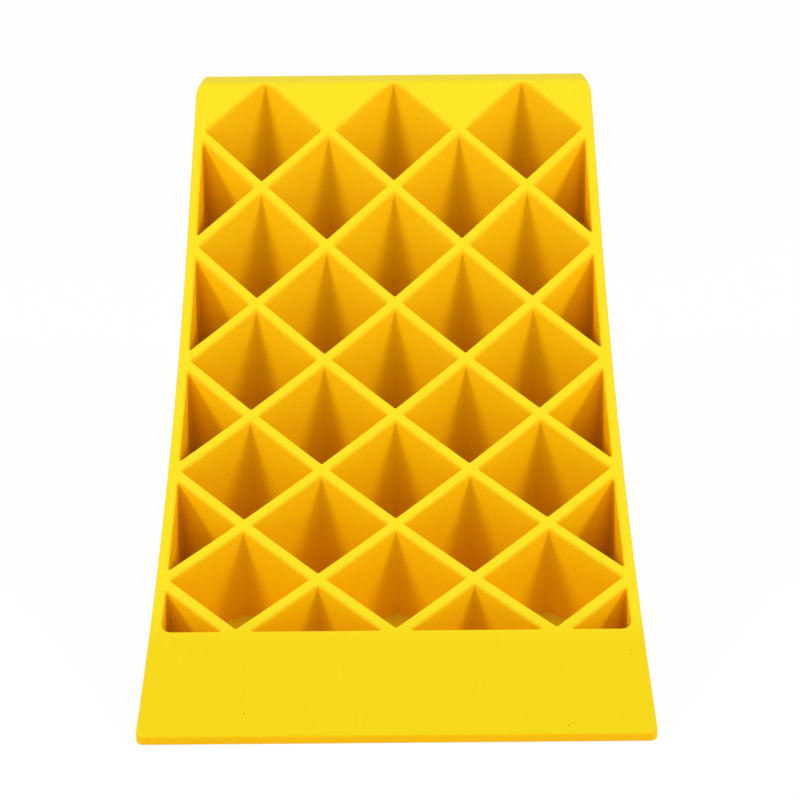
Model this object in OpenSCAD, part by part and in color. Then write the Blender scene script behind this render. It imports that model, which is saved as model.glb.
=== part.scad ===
// Wheel chock: one hollow plastic moulding with a concave ramp. The ramp is the open top
// of a lattice of thin upright ribs that cross in diamonds. A plain apron leads up to the
// lattice, a plain bridge closes it at the crest, and two side walls and a back wall
// enclose it. The moulding is divided here into its walls, plates and ribs. Where two
// ribs cross, they are half-lapped: one keeps the lower half of the crossing, the other
// the upper half, so every rib is one whole plate.
//
// Millimetres. +Z is up. The ramp faces -Y, and the origin is under the middle of the
// chock, on the ground.

/* [Overall] */
// Length from the toe's front edge to the back face
chock_length = 200; // [165:1:245]
// Width across the two side walls
chock_width = 127; // [105:1:155]
// Height of the crest above the ground
chock_height = 127; // [105:1:155]
// Radius of the four upright outer corners
corner_radius = 2; // [0.5:0.5:3]

/* [Ramp] */
// Height of the upright front edge of the toe
toe_thickness = 2.4; // [1.6:0.1:4]
// Slope of the ramp at the toe, in degrees
ramp_start_angle = 19.8; // [15:0.1:22]
// Straight run of the ramp below the crest, above the concave arc
straight_run = 55; // [40:1:70]
// Distance from the back face to the line where the ramp would meet the flat top
crest_depth = 13; // [10:0.5:25]
// Radius that turns the ramp over into the flat top
crest_radius = 4; // [3:0.5:15]
// Radius of the side edges of the top
crest_side_radius = 3; // [2:0.5:10]
// Radius of the back edge of the top
back_edge_radius = 1; // [1:0.5:4]

/* [Walls] */
// Thickness of each side wall
side_wall_thickness = 3; // [2:0.1:5]
// Thickness of the back wall
back_wall_thickness = 3; // [2:0.1:5]
// Thickness of the floor under the lattice
floor_thickness = 3; // [2:0.1:5]
// Thickness of the skin of the apron and of the bridge, and of the apron's back wall
skin_thickness = 3; // [2:0.1:4]

/* [Lattice] */
// Number of diamonds from side to side
diamonds_across = 3; // [2:1:4]
// Half the length of a diamond, measured on the ground
row_step = 16; // [12:0.5:22]
// Distance from the front edge to the first row of rib crossings
first_row = 29; // [20:0.5:45]
// Thickness of a rib
rib_thickness = 2.8; // [1.8:0.1:4]
// Least depth of bridge left behind the last diamonds
bridge_depth = 5; // [3:0.5:20]

/* [Apron] */
// Length of the apron from the front edge to the first pockets
apron_length = 30; // [22:0.5:50]
// Length of solid plastic behind the front edge, before the hollow starts
toe_lip = 8; // [5:0.5:12]
// Fillet in the two outer corners of the first row of pockets
pocket_fillet = 2.5; // [1:0.5:4]
// Number of stiffening ribs under the apron
toe_ribs = 3; // [1:1:5]

/* [Hidden] */
moulding_colour = "#F2D81B";
cut_slack = 1;
// Flats that stand for the ramp's long arc, and for each rounded corner
ramp_steps = 24;
corner_steps = 8;
// Radius left on an inner corner that is too shallow to be rounded
least_radius = 0.2;

// Ramp profile, with Y measured back from the front edge
crest_y = chock_length - crest_depth;
rise = chock_height - toe_thickness;
arc_radius = (crest_y ^ 2 + rise ^ 2 - straight_run ^ 2)
    / (2 * (rise * cos(ramp_start_angle) - crest_y * sin(ramp_start_angle)));
arc_y = -arc_radius * sin(ramp_start_angle);
arc_z = toe_thickness + arc_radius * cos(ramp_start_angle);
ramp_end_angle = 90 + atan2(chock_height - arc_z, crest_y - arc_y)
    - atan2(straight_run, arc_radius);
straight_start = crest_y - straight_run * cos(ramp_end_angle);
crest_centre = [crest_y + crest_radius * tan(ramp_end_angle / 2), chock_height - crest_radius];

// Lattice
pitch = (chock_width - side_wall_thickness) / diamonds_across;
inner_half_width = chock_width / 2 - side_wall_thickness;
back_inner = chock_length - back_wall_thickness;
rib_angle = atan2(row_step, pitch / 2);
tip_overhang = rib_thickness / 2 / cos(rib_angle);
rows = 2 * floor((back_inner - bridge_depth - tip_overhang - first_row) / (2 * row_step));
rib_count = (2 * diamonds_across + rows) / 2;
outer_diamond = 1 + tip_overhang / row_step;
rib_reach = 4 * rib_thickness;

// Distance from the front edge to a row of crossings
function row_y(row) = first_row + row * row_step;

// Height of the ramp above the ground at a distance from the front edge
function ramp_z(y) =
    y < straight_start ? arc_z - sqrt(arc_radius ^ 2 - (y - arc_y) ^ 2)
    : min(chock_height, chock_height - (crest_y - y) * tan(ramp_end_angle));

// Level at which two crossing ribs are half-lapped
function lap_z(row) = (floor_thickness + ramp_z(row_y(row))) / 2;

// A right rib starts at the apron or at the left wall, and ends at the right wall or the
// bridge. Its column is where it would cross row 0, counted in diamonds from the middle.
function rib_column(i) = (diamonds_across - 1) / 2 - (i - 1);
function rib_first_row(i) = max(0, -diamonds_across - 2 * rib_column(i));
function rib_last_row(i) = min(rows, diamonds_across - 2 * rib_column(i));

// Points along an arc, from one angle to another
function arc_points(centre, radius, from, to, steps) =
    [for (i = [0:steps])
        let (angle = from + (to - from) * i / steps)
            centre + radius * [cos(angle), sin(angle)]];

// Side view of everything below the ramp, or below a surface parallel to it at a depth
module ramp_outline(depth = 0) {
    crest_r = max(crest_radius - depth, least_radius);
    back_r = max(back_edge_radius - depth, least_radius);
    back_centre = [chock_length - back_r, chock_height - depth - back_r];
    intersection() {
        square([chock_length, chock_height]);
        polygon(concat(
            [[0, 0], [chock_length, 0]],
            arc_points(back_centre, back_r, 0, 90, corner_steps),
            arc_points(crest_centre, crest_r, 90, 90 + ramp_end_angle, corner_steps),
            arc_points([arc_y, arc_z], arc_radius + depth, ramp_end_angle - 90,
                       ramp_start_angle - 90, ramp_steps)
        ));
    }
}

// Front view of the whole chock, with its two upper corners rounded
module front_outline() {
    r = crest_side_radius;
    x = chock_width / 2;
    polygon(concat(
        [[-x, 0], [x, 0]],
        arc_points([x - r, chock_height - r], r, 0, 90, corner_steps),
        arc_points([r - x, chock_height - r], r, 90, 180, corner_steps)
    ));
}

// The same shape as a solid across the whole width, in the part's own frame
module below_ramp(depth = 0) {
    translate([0, -chock_length / 2, 0]) rotate([90, 0, 90])
        linear_extrude(height = chock_width + 2 * cut_slack, center = true)
            ramp_outline(depth);
}

// A plan outline, drawn with Y from the front edge, as a solid of the chock's height
module upright(from_z = 0, to_z = chock_height + cut_slack) {
    translate([0, -chock_length / 2, from_z]) linear_extrude(height = to_z - from_z) children();
}

// Plan of the whole chock, with rounded corners
module chock_plan() {
    r = corner_radius;
    x = chock_width / 2 - r;
    y = chock_length - r;
    polygon(concat(
        arc_points([x, y], r, 0, 90, corner_steps),
        arc_points([-x, y], r, 90, 180, corner_steps),
        arc_points([-x, r], r, 180, 270, corner_steps),
        arc_points([x, r], r, 270, 360, corner_steps)
    ));
}

// Plan of the strip between the side walls, from one distance to another
module inner_strip(from_y, to_y) {
    translate([-inner_half_width, from_y]) square([2 * inner_half_width, to_y - from_y]);
}

// Plan of the last row of diamonds, taken round the outside of their ribs
module last_diamonds() {
    for (i = [0:diamonds_across - 1])
        translate([(i - (diamonds_across - 1) / 2) * pitch, row_y(rows - 1)])
            polygon(outer_diamond * [[-pitch / 2, 0], [0, -row_step], [pitch / 2, 0], [0, row_step]]);
}

// Plan of the lattice: from the apron back to the outside of the last diamonds
module lattice_plan() {
    intersection() {
        inner_strip(apron_length, back_inner);
        union() {
            inner_strip(apron_length, row_y(rows - 1));
            last_diamonds();
        }
    }
}

// Plan of the hollow behind the lattice
module chamber_plan() {
    difference() {
        inner_strip(row_y(rows - 1), back_inner);
        last_diamonds();
    }
}

// Everything inside the rounded front view
module inside_front() {
    rotate([90, 0, 0]) linear_extrude(height = chock_length + 2 * cut_slack, center = true)
        front_outline();
}

// One wall of the moulding: a plan outline carried up to the ramp and rounded at the crest
module outer_wall() {
    color(moulding_colour) intersection() {
        below_ramp();
        inside_front();
        upright() intersection() {
            chock_plan();
            children();
        }
    }
}

module side_wall(side) {
    outer_wall() translate([side * (chock_width - side_wall_thickness) / 2, chock_length / 2])
        square([side_wall_thickness, chock_length], center = true);
}

module side_wall_left() { side_wall(-1); }

module side_wall_right() { side_wall(1); }

module back_wall() {
    outer_wall() inner_strip(back_inner, chock_length);
}

// Skin over the hollow at the crest. Its front edge follows the last diamonds.
module top_bridge() {
    color(moulding_colour) difference() {
        intersection() {
            below_ramp();
            inside_front();
            upright() chamber_plan();
        }
        below_ramp(skin_thickness);
    }
}

// Upright webs that carry the bridge, between the back wall and the last rib crossings
module back_web(i) {
    x = (i - diamonds_across / 2) * pitch;
    color(moulding_colour) intersection() {
        below_ramp(skin_thickness);
        upright() intersection() {
            chamber_plan();
            translate([x - rib_thickness / 2, 0]) square([rib_thickness, chock_length]);
        }
    }
}

module floor_plate() {
    color(moulding_colour) upright(0, floor_thickness) lattice_plan();
}

// Plan of the hollow under the apron
module apron_hollow_plan() {
    inner_strip(toe_lip, apron_length - skin_thickness);
}

// Skin of the apron, with the solid toe at its front
module toe_apron() {
    color(moulding_colour) difference() {
        intersection() {
            below_ramp();
            upright() inner_strip(0, apron_length);
        }
        intersection() {
            below_ramp(skin_thickness);
            upright(-cut_slack) inner_strip(toe_lip, apron_length + cut_slack);
        }
    }
}

// Upright wall under the apron's back edge, with a fillet at each end of the first pockets
module apron_wall() {
    r = pocket_fillet;
    color(moulding_colour) {
        intersection() {
            below_ramp(skin_thickness);
            upright() inner_strip(apron_length - skin_thickness, apron_length);
        }
        for (side = [0, 1]) mirror([side, 0, 0]) intersection() {
            below_ramp();
            upright(floor_thickness) translate([inner_half_width - r, apron_length])
                polygon(concat([[r, 0]], arc_points([0, r], r, 0, -90, corner_steps)));
        }
    }
}

// Stiffening rib under the apron
module toe_rib(i) {
    x = (i - (toe_ribs + 1) / 2) * 2 * inner_half_width / (toe_ribs + 1);
    color(moulding_colour) intersection() {
        below_ramp(skin_thickness);
        upright() intersection() {
            apron_hollow_plan();
            translate([x - rib_thickness / 2, 0]) square([rib_thickness, chock_length]);
        }
    }
}

// Plan of one rib: a strip through crossings of the lattice, leaning right or left
module rib_strip(column, from_row, to_row, lean) {
    from = [lean * (column + from_row / 2) * pitch, row_y(from_row)];
    length = (to_row - from_row) * row_step / sin(rib_angle) + 2 * rib_reach;
    translate(from) rotate(lean > 0 ? rib_angle : 180 - rib_angle)
        translate([-rib_reach, -rib_thickness / 2]) square([length, rib_thickness]);
}

// The half of each crossing that a rib gives up to the ribs that lean the other way
module lap_slots(i, lean) {
    column = rib_column(i);
    for (row = [rib_first_row(i):rib_last_row(i)]) {
        other_column = -(column + row);
        low = lean > 0 ? lap_z(row) : -cut_slack;
        high = lean > 0 ? chock_height + cut_slack : lap_z(row);
        upright(low, high) intersection() {
            rib_strip(other_column, row, row, -lean);
            translate([lean * (column + row / 2) * pitch, row_y(row)])
                square(2 * rib_reach, center = true);
        }
    }
}

// Rib number i of the lattice. lean is 1 for a rib that runs to the right as it goes back.
module lattice_rib(i, lean) {
    color(moulding_colour) difference() {
        intersection() {
            below_ramp();
            upright(floor_thickness) intersection() {
                lattice_plan();
                rib_strip(rib_column(i), rib_first_row(i), rib_last_row(i), lean);
            }
        }
        lap_slots(i, lean);
    }
}

toe_apron();
apron_wall();
floor_plate();
side_wall_left();
side_wall_right();
back_wall();
top_bridge();
for (i = [1:toe_ribs])
    toe_rib(i);
for (i = [1:diamonds_across - 1])
    back_web(i);
for (i = [1:rib_count]) {
    lattice_rib(i, 1);
    lattice_rib(i, -1);
}
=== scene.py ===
"""Wheel chock, moulded in one piece from yellow polypropylene.

The moulding is made whole, as rings of points lofted between a curved ramp and a flat
underside. Each piece is then cut from it on flat planes, so the pieces meet flush.
Lengths are in metres. The ramp faces -Y and the chock stands on z = 0.
"""
from math import atan2, ceil, cos, floor, hypot, pi, radians, sin, sqrt, tan

import bmesh
import bpy
from mathutils import Matrix, Vector
from mathutils.geometry import delaunay_2d_cdt


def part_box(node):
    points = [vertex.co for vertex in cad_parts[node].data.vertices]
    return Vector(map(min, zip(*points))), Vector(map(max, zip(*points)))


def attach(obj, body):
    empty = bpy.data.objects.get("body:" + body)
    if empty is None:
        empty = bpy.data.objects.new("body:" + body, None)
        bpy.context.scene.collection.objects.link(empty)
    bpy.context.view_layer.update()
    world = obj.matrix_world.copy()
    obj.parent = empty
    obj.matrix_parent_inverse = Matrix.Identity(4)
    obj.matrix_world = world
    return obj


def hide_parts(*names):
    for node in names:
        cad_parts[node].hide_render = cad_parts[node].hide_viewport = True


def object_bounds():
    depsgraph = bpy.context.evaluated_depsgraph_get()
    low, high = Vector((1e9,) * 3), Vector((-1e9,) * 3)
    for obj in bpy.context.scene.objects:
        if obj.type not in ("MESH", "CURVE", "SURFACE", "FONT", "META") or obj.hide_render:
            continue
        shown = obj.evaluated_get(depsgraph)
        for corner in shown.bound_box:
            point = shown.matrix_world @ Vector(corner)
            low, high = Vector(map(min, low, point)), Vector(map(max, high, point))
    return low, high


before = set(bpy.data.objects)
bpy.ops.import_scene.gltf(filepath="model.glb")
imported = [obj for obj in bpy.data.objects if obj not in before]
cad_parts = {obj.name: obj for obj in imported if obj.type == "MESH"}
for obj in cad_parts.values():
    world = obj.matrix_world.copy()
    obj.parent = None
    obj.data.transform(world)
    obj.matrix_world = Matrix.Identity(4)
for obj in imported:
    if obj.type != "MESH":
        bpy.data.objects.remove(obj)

bl_info = {
    "name": "Wheel chock",
    "version": (1, 0, 0),
    "blender": (4, 5, 0),
    "location": "3D View > Sidebar > Wheel chock",
    "description": "Builds a moulded plastic wheel chock with a diamond lattice ramp",
    "category": "Add Mesh",
}

MM = 0.001
CAD_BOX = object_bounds()
CAD_SIZE = CAD_BOX[1] - CAD_BOX[0]
FRONT_Y = CAD_BOX[0].y
FLOOR_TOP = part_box("floor_plate")[1].z
SIDE_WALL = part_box("side_wall_left")[1].x - CAD_BOX[0].x
BACK_WALL = CAD_BOX[1].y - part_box("back_wall")[0].y
APRON_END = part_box("toe_apron")[1].y - FRONT_Y
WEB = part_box("back_web_1")[1].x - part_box("back_web_1")[0].x

# How near two places are when they are the same, and two vertices when they are merged.
SAME, WELD = MM / 1000, MM / 500
# A side whose ends differ by less than this in Y runs straight across.
LEVEL = MM / 100
# The shortest length that counts.
NOTED = MM / 10
# The share of a side, at each of its ends, that is kept free of extra points.
SIDE_END = 0.02
# The least distance between an extra point on a surface and its edges.
CLEAR = 0.2 * MM


def linear(code):
    """Scene-linear red, green and blue of an sRGB hex code."""
    levels = [int(code[i : i + 2], 16) / 255 for i in (1, 3, 5)]
    return [v / 12.92 if v <= 0.04045 else ((v + 0.055) / 1.055) ** 2.4 for v in levels]


# ---------------------------------------------------------------- sizes and colours


def length_property(name, value, description):
    """A size that the sidebar shows as a length."""
    return bpy.props.FloatProperty(
        name=name, description=description, default=value, min=0, precision=5, unit="LENGTH"
    )


def colour_property(name, code, description):
    """A colour that the sidebar shows as a swatch."""
    return bpy.props.FloatVectorProperty(
        name=name, description=description, default=linear(code), min=0, max=1, size=3,
        subtype="COLOR",
    )


class ChockSizes(bpy.types.PropertyGroup):
    """Sizes of the moulding."""

    length: length_property("Length", CAD_SIZE.y, "From the toe to the back face")
    width: length_property("Width", CAD_SIZE.x, "Across the two side walls")
    height: length_property("Height", CAD_SIZE.z, "From the ground to the crest")
    toe: length_property("Toe", 2.4 * MM, "Height of the toe's upright front face")
    start_angle: bpy.props.FloatProperty(
        name="Start angle", description="Slope of the ramp at the toe",
        default=radians(19.8), subtype="ANGLE",
    )
    straight_run: length_property("Straight run", 55 * MM, "Straight ramp below the crest")
    crest_depth: length_property("Crest depth", 13 * MM, "From the back to the ramp's upper end")
    crest_radius: length_property("Crest radius", 4 * MM, "Turn of the ramp into the flat top")
    crest_side: length_property("Crest side radius", 3 * MM, "Round of the top's side edges")
    side_wall: length_property("Side wall", SIDE_WALL, "Thickness of each side wall")
    back_wall: length_property("Back wall", BACK_WALL, "Thickness of the back wall")
    base: length_property("Base", FLOOR_TOP, "Thickness of the base under the lattice")
    skin: length_property("Skin", 3 * MM, "Thickness of the apron and of the bridge")
    across: bpy.props.IntProperty(
        name="Diamonds across", description="Diamonds from side to side", default=3, min=2
    )
    row_step: length_property("Row step", 16 * MM, "Half the length of a diamond")
    first_row: length_property("First row", 29 * MM, "From the toe to the first rib crossings")
    bridge: length_property("Bridge", 5 * MM, "Least depth of bridge behind the last diamonds")
    rib: length_property("Rib", WEB, "Thickness of a rib")
    apron: length_property("Apron", APRON_END, "From the toe to the first pockets")
    toe_lip: length_property("Toe lip", 8 * MM, "Solid plastic behind the toe's front face")
    toe_ribs: bpy.props.IntProperty(
        name="Toe ribs", description="Stiffening ribs under the apron", default=3, min=1
    )
    plan_corner: length_property("Upright corners", 2 * MM, "Radius of the upright outer corners")
    pocket_corner: length_property(
        "First pocket corners", 2.5 * MM, "Fillet where the side walls meet the apron's wall"
    )


class ChockEdges(bpy.types.PropertyGroup):
    """Radii that the mould leaves on the edges."""

    rim: length_property("Rib edges", 0.4 * MM, "Round along the rib edges that face the back")
    worn: length_property("Worn rib edges", 1.2 * MM, "Round along the rib edges that tyres meet")
    side: length_property("Side edges", 0.8 * MM, "Round along the top of each side wall")
    front: length_property("Toe edge", 0.6 * MM, "Round along the top of the toe's front face")
    back: length_property("Back edge", 0.8 * MM, "Round along the top of the back face")
    foot: length_property("Foot edge", 0.4 * MM, "Round along the edges that meet the ground")
    inner: length_property("Inner corners", 0.3 * MM, "Fillet down the corners of each pocket")
    hollow: length_property("Hollow corners", 0.6 * MM, "Fillet down the corners of each hollow")
    root: length_property("Root", 0.2 * MM, "Fillet round the floor of each pocket")


class ChockColours(bpy.types.PropertyGroup):
    """Colours of the plastic and of the ground."""

    plastic: colour_property("Plastic", "#FFC700", "Yellow of the moulding")
    streak: colour_property("Flow streak", "#FBC000", "Slightly deeper yellow in the flow clouds")
    # Painted light: a paler lemon yellow for the faces that look up, standing in for the light that
    # falls on them.
    painted_top_light: colour_property("Painted top light", "#EFD210", "Yellow of the faces that look up to the sun")
    # The same pale yellow also covers every face that looks up behind the apron.
    scuff: colour_property("Scuff", "#FBE92A", "Pale marks where the plastic has been rubbed")
    speck: colour_property("Speck", "#8F7408", "Rare dark grains in the plastic")
    ground: colour_property("Ground", "#FAFAF8", "Pale floor")


# ---------------------------------------------------------------- ramp and plan


class Plan:
    """Positions worked out from the sizes, with Y measured back from the toe."""

    def __init__(self, sizes):
        s = self.sizes = sizes
        self.half_width = s.width / 2
        self.inner = s.width / 2 - s.side_wall
        self.back_inner = s.length - s.back_wall
        rise, crest = s.height - s.toe, s.length - s.crest_depth
        self.crest_y = crest
        self.arc = (crest**2 + rise**2 - s.straight_run**2) / (
            2 * (rise * cos(s.start_angle) - crest * sin(s.start_angle))
        )
        self.arc_y = -self.arc * sin(s.start_angle)
        self.arc_z = s.toe + self.arc * cos(s.start_angle)
        self.end_angle = (
            pi / 2
            + atan2(s.height - self.arc_z, crest - self.arc_y)
            - atan2(s.straight_run, self.arc)
        )
        self.crest_centre_y = crest + s.crest_radius * tan(self.end_angle / 2)
        self.half_pitch = (s.width - s.side_wall) / s.across / 2
        slope = hypot(1 / self.half_pitch, 1 / s.row_step)
        self.shrink = s.rib / 2 * slope
        room = self.back_inner - s.bridge - self.shrink * s.row_step - s.first_row
        self.rows = 2 * floor(room / (2 * s.row_step))

    def row_y(self, row):
        """Distance from the toe to a row of rib crossings."""
        return self.sizes.first_row + row * self.sizes.row_step

    def ramp(self, y, depth=0.0):
        """Height of the ramp, or of the surface at a depth under it."""
        s, end = self.sizes, self.end_angle
        radius, turn = self.arc + depth, s.crest_radius - depth
        if y < self.arc_y + radius * sin(end):
            return self.arc_z - sqrt(radius**2 - (y - self.arc_y) ** 2)
        if y < self.crest_centre_y - turn * sin(end):
            return s.height - (self.crest_y - y) * tan(end) - depth / cos(end)
        if y < self.crest_centre_y:
            return s.height - s.crest_radius + sqrt(turn**2 - (y - self.crest_centre_y) ** 2)
        return s.height - depth

    def stations(self):
        """Distances at which the curved surfaces are divided: closer round the crest."""
        step, fine, fine_run = 5 * MM, 0.5 * MM, 9 * MM
        turn_start = self.crest_centre_y - fine_run
        coarse = [step * i for i in range(1, ceil(turn_start / step))]
        count = ceil((self.crest_centre_y - coarse[-1]) / fine)
        return coarse + [coarse[-1] + fine * i for i in range(1, count + 1)]


def clipped(corners, axis, limit, keep_more):
    """A convex outline with the part beyond a limit of x or y cut off."""
    result = []
    for i, here in enumerate(corners):
        last = corners[i - 1]
        inside = (here[axis] > limit) == keep_more
        if inside != ((last[axis] > limit) == keep_more):
            result.append(last.lerp(here, (limit - last[axis]) / (here[axis] - last[axis])))
        if inside:
            result.append(here)
    return result


def diamond(x, y, half_x, half_y):
    """Corners of a diamond, anticlockwise from its front corner."""
    return [Vector(c) for c in ((x, y - half_y), (x + half_x, y), (x, y + half_y), (x - half_x, y))]


def cells(plan):
    """Outlines of the lattice's pockets, each a whole diamond or what the walls leave of one."""
    s = plan.sizes
    half_x = plan.half_pitch * (1 - plan.shrink)
    half_y = s.row_step * (1 - plan.shrink)
    outlines = []
    for row in range(plan.rows):
        places = [i for i in range(-s.across, s.across + 1) if not (i + row + s.across) % 2]
        for place in places:
            corners = diamond(place * plan.half_pitch, plan.row_y(row), half_x, half_y)
            corners = clipped(corners, 0, -plan.inner, True)
            corners = clipped(corners, 0, plan.inner, False)
            corners = clipped(corners, 1, s.apron, True)
            outlines.append(corners)
    return outlines


def toe_hollows(plan):
    """Outlines of the hollows under the apron, between its stiffening ribs."""
    s = plan.sizes
    bay = 2 * plan.inner / (s.toe_ribs + 1)
    low, high = s.toe_lip, s.apron - s.skin
    outlines = []
    for i in range(s.toe_ribs + 1):
        left = -plan.inner + i * bay + (s.rib / 2 if i else 0)
        right = -plan.inner + (i + 1) * bay - (s.rib / 2 if i < s.toe_ribs else 0)
        corners = ((left, low), (right, low), (right, high), (left, high))
        outlines.append([Vector(c) for c in corners])
    return outlines


def crest_hollows(plan):
    """Outlines of the hollows behind the lattice, between the webs under the bridge."""
    s = plan.sizes
    y = plan.row_y(plan.rows - 1)
    half_x = plan.half_pitch * (1 + plan.shrink)
    half_y = s.row_step * (1 + plan.shrink)
    outlines = []
    for i in range(s.across):
        x = (2 * i - s.across + 1) * plan.half_pitch
        left = max(x - plan.half_pitch + s.rib / 2, -plan.inner)
        right = min(x + plan.half_pitch - s.rib / 2, plan.inner)
        front = [(px, y + half_y * (1 - abs(px - x) / half_x)) for px in (left, x, right)]
        outlines.append(
            [Vector(c) for c in (*front, (right, plan.back_inner), (left, plan.back_inner))]
        )
    return outlines


def outer_outline(plan):
    """Corners of the whole moulding in plan."""
    x, y = plan.half_width, plan.sizes.length
    return [Vector(c) for c in ((-x, 0), (x, 0), (x, y), (-x, y))]


def rounded(corners, radius, stations, reach, steps, columns=()):
    """Points round an anticlockwise outline with its corners rounded.

    Each is a point and the direction out of the outline. Points on the straight sides lie
    where the side, moved out by reach, crosses a station, or where a side of constant Y
    crosses a column. radius is a function of a corner, and reach of a direction. steps
    divides each corner.
    """
    count = len(corners)
    arcs = []
    for i, corner in enumerate(corners):
        before = (corner - corners[i - 1]).normalized()
        after = (corners[(i + 1) % count] - corner).normalized()
        turn = atan2(before.cross(after), before.dot(after))
        side = 1 if turn > 0 else -1
        r = radius(corner)
        start = corner - before * r * tan(abs(turn) / 2)
        centre = start + Vector((-before.y, before.x)) * r * side
        out = Vector((before.y, -before.x))
        arc = []
        for k in range(steps + 1):
            normal = out.copy()
            normal.rotate(Matrix.Rotation(turn * k / steps, 2))
            arc.append((centre + normal * r * side, normal))
        arcs.append(arc)
    points = []
    for i, arc in enumerate(arcs):
        points += arc
        start, normal = arc[-1]
        end = arcs[(i + 1) % count][0][0]
        run, rise = end - start
        if abs(rise) < LEVEL:
            marks = [(x - start.x) / run for x in columns]
        else:
            marks = [(y - normal.y * reach(normal) - start.y) / rise for y in stations]
        kept = [t for t in sorted(marks) if SIDE_END < t < 1 - SIDE_END]
        points += [(start.lerp(end, t), normal) for t in kept]
    return points


# ---------------------------------------------------------------- surfaces

# Steps in a quarter turn, round each kind of edge.
RIM_STEPS = 5
TOP_STEPS = 6
FILLET_STEPS = 3
# Steps round an upright corner in plan: of the outside, and of a pocket.
OUTER_CORNER_STEPS = 6
POCKET_CORNER_STEPS = 4


def add_ring(mesh, places):
    """A ring of vertices, moved from toe-based Y to the frame's own."""
    return [mesh.verts.new((x, y + FRONT_Y, z)) for x, y, z in places]


def join_rings(mesh, rings):
    """Faces between each ring and the next."""
    for low, high in zip(rings, rings[1:]):
        for i in range(len(low)):
            mesh.faces.new((low[i - 1], low[i], high[i], high[i - 1]))


def moved_out(loop, distance):
    """A loop's points, each moved out by its own distance."""
    return [point + normal * distance(normal) for point, normal in loop]


def quarter(steps):
    """Cosine and sine at even steps of a quarter turn."""
    return [(cos(pi / 2 * k / steps), sin(pi / 2 * k / steps)) for k in range(steps + 1)]


def inside(point, outline):
    """Whether a point is inside an outline."""
    x, y = point
    found = False
    for a, b in zip(outline, outline[1:] + outline[:1]):
        if (a.y > y) != (b.y > y) and x < a.x + (b.x - a.x) * (y - a.y) / (b.y - a.y):
            found = not found
    return found


def boxed(outline):
    """An outline with its limits, for a quick test."""
    xs, ys = [p.x for p in outline], [p.y for p in outline]
    return outline, min(xs), max(xs), min(ys), max(ys)


def in_any(point, boxes):
    """Whether a point is inside any of the boxed outlines."""
    x, y = point
    return any(
        x0 < x < x1 and y0 < y < y1 and inside(point, outline) for outline, x0, x1, y0, y1 in boxes
    )


def crossings(rings, y):
    """Where rings meet a line of constant Y: the vertices on it, and the sides that it cuts."""
    on, cut, start = [], [], 0
    for ring in rings:
        for i, p in enumerate(ring):
            q = ring[i - 1]
            if abs(p.y - y) < SAME:
                on.append((p.x, start + i))
            elif abs(q.y - y) > SAME and (p.y > y) != (q.y > y):
                cut.append(q.x + (p.x - q.x) * (y - q.y) / (p.y - q.y))
        start += len(ring)
    return sorted(on), cut


def add_skin(mesh, outline, holes, height, stations=(), columns=None):
    """A surface over a plan outline with holes, lifted to a height.

    It is divided along the stations, so that it bends where the ramp does. columns gives
    extra places on a station.
    """
    rings = [outline, *holes]
    boxes = [boxed(h) for h in holes]
    points = [p for ring in rings for p in ring]
    edges, start = [], 0
    for ring in rings:
        edges += [(start + i, start + (i + 1) % len(ring)) for i in range(len(ring))]
        start += len(ring)
    for y in stations:
        on, cut = crossings(rings, y)
        for (x0, first), (x1, last) in zip(on, on[1:]):
            middle = Vector(((x0 + x1) / 2, y))
            blocked = any(x0 < x < x1 for x in cut)
            if blocked or x1 - x0 < NOTED:
                continue
            if in_any(middle, boxes) or not inside(middle, outline):
                continue
            chain = [first]
            for x in columns(y) if columns else []:
                if x0 + CLEAR < x < x1 - CLEAR:
                    chain.append(len(points))
                    points.append(Vector((x, y)))
            chain.append(last)
            edges += zip(chain, chain[1:])
    in_millimetres = [p / MM for p in points]
    keep_inside, tolerance = 1, 1e-5
    flat, _, faces, sources, _, _ = delaunay_2d_cdt(
        in_millimetres, edges, [], keep_inside, tolerance
    )
    if len(flat) != len(points):
        raise RuntimeError(f"the outline crosses itself: {len(points)} points gave {len(flat)}")
    places = [points[source[0]] for source in sources]
    verts = add_ring(mesh, [(p.x, p.y, height(p)) for p in places])
    for face in faces:
        middle = sum((places[i] for i in face), Vector((0, 0))) / len(face)
        if not in_any(middle, boxes):
            mesh.faces.new([verts[i] for i in face])


def add_pocket(mesh, loop, rim, rim_radius, end, end_radius, rise, stations=()):
    """A pocket sunk into the moulding: a rounded rim, upright walls and a filleted end.

    rim and end give the heights of the surface it opens in and of its end, and rim_radius
    gives the rim's radius on a side that faces a direction. rise is 1 for a pocket that goes
    up from the underside, and -1 for one that goes down from the ramp. Returns the rim's
    outermost ring in plan.
    """
    rings = []
    for c, s in reversed(quarter(RIM_STEPS)):
        places = moved_out(loop, lambda normal: rim_radius(normal) * (1 - c))
        drops = [rim_radius(normal) * (1 - s) for _, normal in loop]
        heights = [rim(p) + rise * d for p, d in zip(places, drops)]
        rings.append(add_ring(mesh, [(p.x, p.y, z) for p, z in zip(places, heights)]))
    mouth = moved_out(loop, rim_radius)
    for c, s in quarter(FILLET_STEPS):
        places = moved_out(loop, lambda normal: -end_radius * (1 - c))
        heights = [end(p) - rise * end_radius * (1 - s) for p in places]
        rings.append(add_ring(mesh, [(p.x, p.y, z) for p, z in zip(places, heights)]))
    join_rings(mesh, rings)
    add_skin(mesh, moved_out(loop, lambda normal: -end_radius), [], end, stations)
    return mouth


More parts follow.
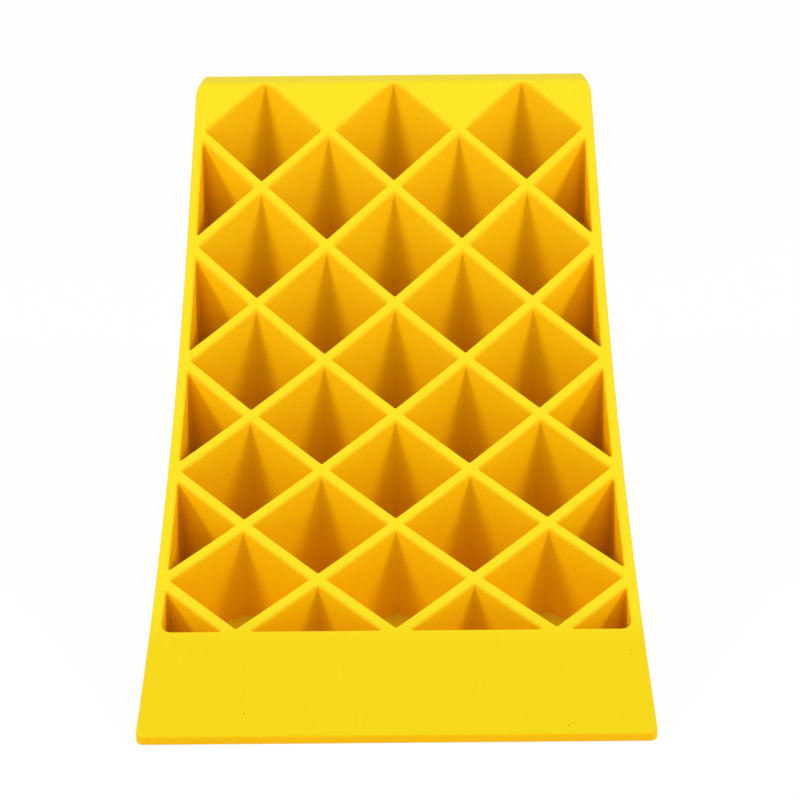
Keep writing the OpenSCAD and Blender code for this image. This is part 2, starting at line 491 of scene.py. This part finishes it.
def add_shell(mesh, loop, edges, height):
    """The moulding's outer walls, rounded at the foot and along the top.

    Returns the innermost rings in plan, at the foot and at the top.
    """

    def top_radius(normal):
        across = edges.back if normal.y > 0 else edges.front
        return edges.side * normal.x**2 + across * normal.y**2

    rings = []
    for c, s in reversed(quarter(FILLET_STEPS)):
        places = moved_out(loop, lambda normal: -edges.foot * (1 - c))
        rings.append(add_ring(mesh, [(p.x, p.y, edges.foot * (1 - s)) for p in places]))
    foot = moved_out(loop, lambda normal: -edges.foot)
    for c, s in quarter(TOP_STEPS):
        places = moved_out(loop, lambda normal: -top_radius(normal) * (1 - c))
        drops = [top_radius(normal) * (1 - s) for _, normal in loop]
        rings.append(add_ring(mesh, [(p.x, p.y, height(p) - d) for p, d in zip(places, drops)]))
    join_rings(mesh, rings)
    return foot, moved_out(loop, lambda normal: -top_radius(normal))


def round_crest_sides(mesh, plan):
    """Brings the top's two side edges down into a round, as seen from the front."""
    r = plan.sizes.crest_side
    start_x, start_z = plan.half_width - r, plan.sizes.height - r
    for vert in mesh.verts:
        past = min((abs(vert.co.x) - start_x) / r, 1)
        if past > 0 and vert.co.z > start_z:
            vert.co.z = start_z + (vert.co.z - start_z) * sqrt(1 - past**2)


def moulding(sizes, edges):
    """The whole moulding as one closed mesh."""
    plan = Plan(sizes)
    mesh = bmesh.new()
    stations = plan.stations()

    def ramp(point):
        return plan.ramp(point.y)

    def under_skin(point):
        return plan.ramp(point.y, sizes.skin)

    # Extra columns divide the top where its side edges turn down.
    start = plan.half_width - sizes.crest_side
    right = [start + sizes.crest_side * sin(radians(angle)) for angle in range(0, 60, 10)]
    columns = [-x for x in reversed(right)] + right

    def side_columns(y):
        return columns if plan.ramp(y) > sizes.height - sizes.crest_side else []

    outer = rounded(
        outer_outline(plan), lambda corner: sizes.plan_corner, stations, lambda normal: 0,
        OUTER_CORNER_STEPS, columns,
    )
    foot, top = add_shell(mesh, outer, edges, ramp)

    def cell_corner(corner):
        at_wall = abs(abs(corner.x) - plan.inner) < NOTED
        at_apron = abs(corner.y - sizes.apron) < NOTED
        return sizes.pocket_corner if at_wall and at_apron else edges.inner

    def rim_radius(normal):
        return edges.rim + (edges.worn - edges.rim) * (1 + normal.y) / 2

    mouths = []
    for corners in cells(plan):
        loop = rounded(corners, cell_corner, stations, rim_radius, POCKET_CORNER_STEPS)
        mouths.append(
            add_pocket(mesh, loop, ramp, rim_radius, lambda p: sizes.base, edges.root, -1)
        )
    add_skin(mesh, top, mouths, ramp, stations, side_columns)

    hollows = []
    for corners in toe_hollows(plan) + crest_hollows(plan):
        loop = rounded(
            corners, lambda corner: edges.hollow, stations, lambda normal: -edges.root,
            POCKET_CORNER_STEPS,
        )
        hollows.append(
            add_pocket(
                mesh, loop, lambda p: 0, lambda normal: edges.foot, under_skin, edges.root, 1,
                stations,
            )
        )
    add_skin(mesh, foot, hollows, lambda p: 0)

    round_crest_sides(mesh, plan)
    bmesh.ops.remove_doubles(mesh, verts=mesh.verts, dist=WELD)
    bmesh.ops.dissolve_degenerate(mesh, edges=mesh.edges, dist=WELD)
    bmesh.ops.recalc_face_normals(mesh, faces=mesh.faces)
    return mesh


def cut(mesh, place, direction):
    """Keeps the part of a mesh behind a plane, and closes the cut with a flat face."""
    result = bmesh.ops.bisect_plane(
        mesh, geom=[*mesh.verts, *mesh.edges, *mesh.faces], dist=SAME,
        plane_co=place, plane_no=direction, clear_outer=True,
    )
    open_edges = [e for e in result["geom_cut"] if isinstance(e, bmesh.types.BMEdge)]
    for edge in open_edges:
        edge.smooth = False
    closing = bmesh.ops.edgeloop_fill(mesh, edges=open_edges)
    if any(e.is_boundary for e in mesh.edges) or not closing["faces"]:
        raise RuntimeError("a cut through the moulding was left open")
    bmesh.ops.recalc_face_normals(mesh, faces=mesh.faces)


def make_piece(context, name, planes, nodes):
    """One piece of the moulding, between cutting planes, in place of some CAD nodes."""
    scene = context.scene
    mesh = moulding(scene.chock_sizes, scene.chock_edges)
    for place, direction in planes:
        cut(mesh, place, direction)
    data = bpy.data.meshes.new(name)
    mesh.to_mesh(data)
    mesh.free()
    data.shade_smooth()
    data.materials.append(polypropylene(scene.chock_colours))
    piece = bpy.data.objects.new(name, data)
    scene.collection.objects.link(piece)
    weighted = piece.modifiers.new("Flat faces stay flat", "WEIGHTED_NORMAL")
    weighted.keep_sharp = True
    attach(piece, "root")
    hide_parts(*nodes)


# ---------------------------------------------------------------- materials

# Sockets of a Mix node set to colours: the amount, the two that are mixed and the result.
MIX_AMOUNT, MIX_FIRST, MIX_SECOND, MIX_RESULT = 0, 6, 7, 2
# How far the camera sees the ground as plain white instead of as lit paper.
GROUND_WHITE = 0.95


def add_node(tree, kind, settings=None, links=None):
    """Adds a node, sets its properties and inputs, and links sockets into its inputs."""
    node = tree.nodes.new(kind)
    for name, value in (settings or {}).items():
        if isinstance(name, str) and hasattr(node, name):
            setattr(node, name, value)
        else:
            node.inputs[name].default_value = value
    for name, socket in (links or {}).items():
        tree.links.new(socket, node.inputs[name])
    return node


def mix_colours(tree, amount, first, second):
    """A colour between two, each given as a colour property's value or as a socket."""
    settings, links = {"data_type": "RGBA"}, {MIX_AMOUNT: amount}
    for place, colour in ((MIX_FIRST, first), (MIX_SECOND, second)):
        if isinstance(colour, bpy.types.NodeSocket):
            links[place] = colour
        else:
            settings[place] = (*colour, 1)
    return add_node(tree, "ShaderNodeMix", settings, links).outputs[MIX_RESULT]


def polypropylene(colours):
    """Injection-moulded polypropylene, coloured through."""
    name = "Moulded yellow polypropylene"
    if name in bpy.data.materials:
        return bpy.data.materials[name]
    material = bpy.data.materials.new(name)
    material.use_nodes = True
    tree = material.node_tree
    tree.nodes.clear()
    place = add_node(tree, "ShaderNodeTexCoord").outputs["Object"]

    # Polypropylene cools unevenly as it flows in, which gives broad clouds a few
    # centimetres across where the yellow is a touch deeper and the gloss a touch lower.
    clouds = add_node(
        tree, "ShaderNodeTexNoise", {"Scale": 1 / (34 * MM), "Detail": 2, "Roughness": 0.45},
        {"Vector": place},
    ).outputs["Fac"]
    # Tyres rub the faces that look up, in marks a few millimetres wide drawn out along the ramp.
    stretched = add_node(
        tree, "ShaderNodeMapping", {"vector_type": "POINT", "Scale": (1, 0.22, 0.22)},
        {"Vector": place},
    ).outputs["Vector"]
    scuffs = add_node(
        tree, "ShaderNodeTexNoise", {"Scale": 1 / (2.6 * MM), "Detail": 5, "Roughness": 0.62},
        {"Vector": stretched},
    ).outputs["Fac"]
    rubs = add_node(
        tree, "ShaderNodeMapRange",
        {"From Min": 0.6, "From Max": 0.8, "To Min": 0.0, "To Max": 0.35}, {"Value": scuffs},
    ).outputs["Result"]
    facing = add_node(
        tree, "ShaderNodeSeparateXYZ",
        links={"Vector": add_node(tree, "ShaderNodeNewGeometry").outputs["Normal"]},
    ).outputs["Z"]
    # Faces that look up: they take the painted top light, the rubbed marks and the paler band
    # behind the apron.
    upward = add_node(
        tree, "ShaderNodeMapRange", {"From Min": 0.4, "From Max": 0.72}, {"Value": facing}
    ).outputs["Result"]
    # Behind the apron the faces that look up are made paler all along, ribs included.
    along = add_node(
        tree, "ShaderNodeSeparateXYZ", links={"Vector": place}
    ).outputs["Y"]
    paler_behind_apron = add_node(
        tree, "ShaderNodeMapRange",
        {
            "From Min": FRONT_Y + APRON_END - 4 * MM,
            "From Max": FRONT_Y + APRON_END + 6 * MM,
            "To Min": 0.0,
            "To Max": 0.45,
        },
        {"Value": along},
    ).outputs["Result"]
    rubs_and_paler_back = add_node(
        tree, "ShaderNodeMath", {"operation": "ADD"}, {0: rubs, 1: paler_behind_apron}
    ).outputs["Value"]
    upward_rubs_and_paler_back = add_node(
        tree, "ShaderNodeMath", {"operation": "MULTIPLY"}, {0: rubs_and_paler_back, 1: upward}
    ).outputs["Value"]
    # Burnt grains half a millimetre across turn up about once in each few centimetres.
    grains = add_node(
        tree, "ShaderNodeTexVoronoi", {"feature": "F1", "Scale": 1 / (11 * MM)},
        {"Vector": place},
    ).outputs["Distance"]
    specks = add_node(
        tree, "ShaderNodeMapRange",
        {"From Min": 0.022, "From Max": 0.012, "To Min": 0.0, "To Max": 0.8}, {"Value": grains},
    ).outputs["Result"]

    # Painted light: the faces that look up are turned a paler lemon yellow, standing in for the
    # light that falls on them. Tyres rub them as well.
    base = mix_colours(tree, clouds, colours.plastic, colours.streak)
    painted_top_light = mix_colours(tree, upward, base, colours.painted_top_light)
    rubbed = mix_colours(tree, upward_rubs_and_paler_back, painted_top_light, colours.scuff)
    colour = mix_colours(tree, specks, rubbed, colours.speck)

    # A fine spark-eroded mould leaves a satin skin. Its real grain of 0.1 mm is too fine to
    # show, so it is drawn at 0.5 mm.
    grain = add_node(
        tree, "ShaderNodeTexNoise", {"Scale": 1 / (0.5 * MM), "Detail": 2, "Roughness": 0.5},
        {"Vector": place},
    ).outputs["Fac"]
    # Thick places sink by up to a tenth of a millimetre as they cool.
    sink = add_node(
        tree, "ShaderNodeTexNoise", {"Scale": 1 / (14 * MM), "Detail": 1}, {"Vector": place}
    ).outputs["Fac"]
    waves = add_node(
        tree, "ShaderNodeBump", {"Strength": 0.35, "Distance": 0.25 * MM}, {"Height": sink}
    ).outputs["Normal"]
    normal = add_node(
        tree, "ShaderNodeBump", {"Strength": 0.2, "Distance": 0.03 * MM},
        {"Height": grain, "Normal": waves},
    ).outputs["Normal"]
    # The satin skin scatters its gloss, so it shines softly and less than smooth plastic.
    roughness = add_node(
        tree, "ShaderNodeMapRange",
        {"From Min": 0.3, "From Max": 0.7, "To Min": 0.5, "To Max": 0.6}, {"Value": clouds},
    ).outputs["Result"]

    # Filled with pigment, the plastic lets no light through. Its shaded walls turn orange
    # because light that bounces between them loses green faster than red.
    shader = add_node(
        tree, "ShaderNodeBsdfPrincipled", {"IOR": 1.49, "Specular IOR Level": 0.1},
        {"Base Color": colour, "Roughness": roughness, "Normal": normal},
    )
    add_node(tree, "ShaderNodeOutputMaterial", links={"Surface": shader.outputs["BSDF"]})
    return material


def matt_paper(colours):
    """Matt backdrop paper, which shows the object's shadow and reads white to the camera."""
    material = bpy.data.materials.new("Matt backdrop paper")
    material.use_nodes = True
    tree = material.node_tree
    tree.nodes.clear()
    place = add_node(tree, "ShaderNodeTexCoord").outputs["Object"]
    # Paper fibres, 1 mm apart so that they can show.
    fibres = add_node(
        tree, "ShaderNodeTexNoise", {"Scale": 1 / (1 * MM), "Detail": 3}, {"Vector": place}
    ).outputs["Fac"]
    normal = add_node(
        tree, "ShaderNodeBump", {"Strength": 0.1, "Distance": 0.05 * MM}, {"Height": fibres}
    ).outputs["Normal"]
    paper = add_node(
        tree, "ShaderNodeBsdfPrincipled",
        {"Base Color": (*colours.ground, 1), "Roughness": 0.9}, {"Normal": normal},
    )
    white = add_node(tree, "ShaderNodeEmission", {"Color": (1, 1, 1, 1), "Strength": 1.0})
    rays = add_node(tree, "ShaderNodeLightPath")
    seen = add_node(
        tree, "ShaderNodeMath", {"operation": "MULTIPLY", 1: GROUND_WHITE},
        {0: rays.outputs["Is Camera Ray"]},
    )
    mixed = add_node(
        tree, "ShaderNodeMixShader",
        links={
            0: seen.outputs["Value"],
            1: paper.outputs["BSDF"],
            2: white.outputs["Emission"],
        },
    )
    add_node(tree, "ShaderNodeOutputMaterial", links={"Surface": mixed.outputs["Shader"]})
    return material


# ---------------------------------------------------------------- operators

LEFT, RIGHT = Vector((-1, 0, 0)), Vector((1, 0, 0))
AHEAD, BEHIND = Vector((0, -1, 0)), Vector((0, 1, 0))

# Where the moulding is parted: down the middle of each side wall's flat top, through the
# apron's back wall, and just behind the last pockets.
WALL_CUT = CAD_SIZE.x / 2 - 1.6 * MM
APRON_CUT = FRONT_Y + APRON_END - 1.5 * MM
CREST_CUT = FRONT_Y + 189 * MM

# A softbox on each side, ahead of the chock and above it, in metres and watts.
SOFTBOX_SIDE, SOFTBOX_HEIGHT = radians(73), radians(32)
SOFTBOX_DISTANCE, SOFTBOX_SIZE, SOFTBOX_POWER = 1.1, 0.24, 4.6
# The sky's strength as light, and as the camera sees it.
SKY_LIGHT, SKY_SEEN = 0.62, 1.0
# The ground reaches this far each way, and lies just clear of the chock's underside.
GROUND_REACH, GROUND_DROP = 3.0, 0.05 * MM
# The camera stands ahead of the toe and looks down on the ramp. Its lens and sensor are in
# millimetres.
LENS, SENSOR = 72.2, 36
NEAREST_SEEN, FARTHEST_SEEN = 0.02, 20
CAMERA_PLACE = Vector((2.54 * MM, FRONT_Y - 332.62 * MM, 219.19 * MM))
LOOK_DOWN, LOOK_LEFT, ROLL = radians(21.302), radians(0.159), radians(-0.561)


def between_walls():
    """Planes that leave out both side walls."""
    return [(RIGHT * WALL_CUT, RIGHT), (LEFT * WALL_CUT, LEFT)]


class CHOCK_OT_apron(bpy.types.Operator):
    """Make the apron, with the solid toe and the ribs under it"""

    bl_idname = "chock.apron"
    bl_label = "Apron"

    def execute(self, context):
        ribs = [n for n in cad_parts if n.startswith("toe_rib_")]
        make_piece(
            context, "moulded_apron", [*between_walls(), (BEHIND * APRON_CUT, BEHIND)],
            ["toe_apron", "apron_wall", *ribs],
        )
        return {"FINISHED"}


class CHOCK_OT_lattice(bpy.types.Operator):
    """Make the lattice of crossing ribs and the base under it"""

    bl_idname = "chock.lattice"
    bl_label = "Lattice"

    def execute(self, context):
        ribs = [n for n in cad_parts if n.startswith(("left_rib_", "right_rib_"))]
        make_piece(
            context, "moulded_lattice",
            [*between_walls(), (BEHIND * APRON_CUT, AHEAD), (BEHIND * CREST_CUT, BEHIND)],
            ["floor_plate", *ribs],
        )
        return {"FINISHED"}


class CHOCK_OT_crest(bpy.types.Operator):
    """Make the bridge at the crest, with its webs and the back wall"""

    bl_idname = "chock.crest"
    bl_label = "Crest"

    def execute(self, context):
        webs = [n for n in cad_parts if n.startswith("back_web_")]
        make_piece(
            context, "moulded_crest", [*between_walls(), (BEHIND * CREST_CUT, AHEAD)],
            ["top_bridge", "back_wall", *webs],
        )
        return {"FINISHED"}


class CHOCK_OT_side_walls(bpy.types.Operator):
    """Make the two side walls"""

    bl_idname = "chock.side_walls"
    bl_label = "Side walls"

    def execute(self, context):
        make_piece(
            context, "moulded_side_left", [(LEFT * WALL_CUT, RIGHT)], ["side_wall_left"]
        )
        make_piece(
            context, "moulded_side_right", [(RIGHT * WALL_CUT, LEFT)], ["side_wall_right"]
        )
        return {"FINISHED"}


def add_softbox(name, azimuth):
    """A square lamp that faces the middle of the chock, at an angle to the right of the front."""
    lamp = bpy.data.lights.new(name, "AREA")
    lamp.shape, lamp.size, lamp.energy = "SQUARE", SOFTBOX_SIZE, SOFTBOX_POWER
    holder = bpy.data.objects.new(name, lamp)
    level = cos(SOFTBOX_HEIGHT)
    towards = Vector((sin(azimuth) * level, -cos(azimuth) * level, sin(SOFTBOX_HEIGHT)))
    holder.location = Vector((0, 0, CAD_SIZE.z / 2)) + towards * SOFTBOX_DISTANCE
    holder.rotation_euler = towards.to_track_quat("Z", "Y").to_euler()
    bpy.context.scene.collection.objects.link(holder)


def add_ground(scene):
    """A plain sheet under the chock, which keeps its shadow."""
    data = bpy.data.meshes.new("floor")
    signs = ((-1, -1), (1, -1), (1, 1), (-1, 1))
    corners = [(x * GROUND_REACH, y * GROUND_REACH, -GROUND_DROP) for x, y in signs]
    data.from_pydata(corners, [], [(0, 1, 2, 3)])
    data.materials.append(matt_paper(scene.chock_colours))
    ground = bpy.data.objects.new("floor", data)
    scene.collection.objects.link(ground)


def add_sky(scene):
    """An even sky, which the camera sees as white."""
    world = bpy.data.worlds.new("Studio")
    scene.world = world
    world.use_nodes = True
    tree = world.node_tree
    tree.nodes.clear()
    rays = add_node(tree, "ShaderNodeLightPath")
    ambient, white = [
        add_node(tree, "ShaderNodeBackground", {"Color": (1, 1, 1, 1), "Strength": strength})
        for strength in (SKY_LIGHT, SKY_SEEN)
    ]
    mixed = add_node(
        tree, "ShaderNodeMixShader",
        links={
            0: rays.outputs["Is Camera Ray"],
            1: ambient.outputs["Background"],
            2: white.outputs["Background"],
        },
    )
    add_node(tree, "ShaderNodeOutputWorld", links={"Surface": mixed.outputs["Shader"]})


def add_camera(scene):
    """The camera, ahead of the chock's toe."""
    lens = bpy.data.cameras.new("Camera")
    lens.lens, lens.sensor_width = LENS, SENSOR
    lens.clip_start, lens.clip_end = NEAREST_SEEN, FARTHEST_SEEN
    camera = bpy.data.objects.new("Camera", lens)
    camera.matrix_world = (
        Matrix.Translation(CAMERA_PLACE)
        @ Matrix.Rotation(LOOK_LEFT, 4, "Z")
        @ Matrix.Rotation(pi / 2 - LOOK_DOWN, 4, "X")
        @ Matrix.Rotation(ROLL, 4, "Z")
    )
    scene.collection.objects.link(camera)
    scene.camera = camera


class CHOCK_OT_stage(bpy.types.Operator):
    """Make the floor, the lamps, the sky and the camera"""

    bl_idname = "chock.stage"
    bl_label = "Stage"

    def execute(self, context):
        scene = context.scene
        add_ground(scene)
        add_softbox("Right softbox", SOFTBOX_SIDE)
        add_softbox("Left softbox", -SOFTBOX_SIDE)
        add_sky(scene)
        add_camera(scene)
        scene.view_settings.view_transform = "Standard"
        return {"FINISHED"}


STEPS = (CHOCK_OT_apron, CHOCK_OT_lattice, CHOCK_OT_crest, CHOCK_OT_side_walls, CHOCK_OT_stage)


class CHOCK_PT_sidebar(bpy.types.Panel):
    """Lists the chock's sizes, its colours and the steps that make it"""

    bl_idname = "CHOCK_PT_sidebar"
    bl_label = "Wheel chock"
    bl_space_type = "VIEW_3D"
    bl_region_type = "UI"
    bl_category = "Wheel chock"

    def draw(self, context):
        for title, group in (
            ("Sizes", context.scene.chock_sizes),
            ("Edges", context.scene.chock_edges),
            ("Colours", context.scene.chock_colours),
        ):
            box = self.layout.box()
            box.label(text=title)
            for name in group.__annotations__:
                box.prop(group, name)
        for step in STEPS:
            self.layout.operator(step.bl_idname)


GROUPS = {"chock_sizes": ChockSizes, "chock_edges": ChockEdges, "chock_colours": ChockColours}


def register():
    """Adds the sizes, the colours, the steps and the panel to Blender."""
    for group in GROUPS.values():
        bpy.utils.register_class(group)
    for name, group in GROUPS.items():
        setattr(bpy.types.Scene, name, bpy.props.PointerProperty(type=group))
    for step in (*STEPS, CHOCK_PT_sidebar):
        bpy.utils.register_class(step)


def unregister():
    """Takes away what register added."""
    for step in (CHOCK_PT_sidebar, *reversed(STEPS)):
        bpy.utils.unregister_class(step)
    for name in GROUPS:
        delattr(bpy.types.Scene, name)
    for group in GROUPS.values():
        bpy.utils.unregister_class(group)


def main():
    """Builds the chock and its stage."""
    register()
    bpy.ops.chock.apron()
    bpy.ops.chock.lattice()
    bpy.ops.chock.crest()
    bpy.ops.chock.side_walls()
    bpy.ops.chock.stage()


if __name__ == "__main__":
    main()
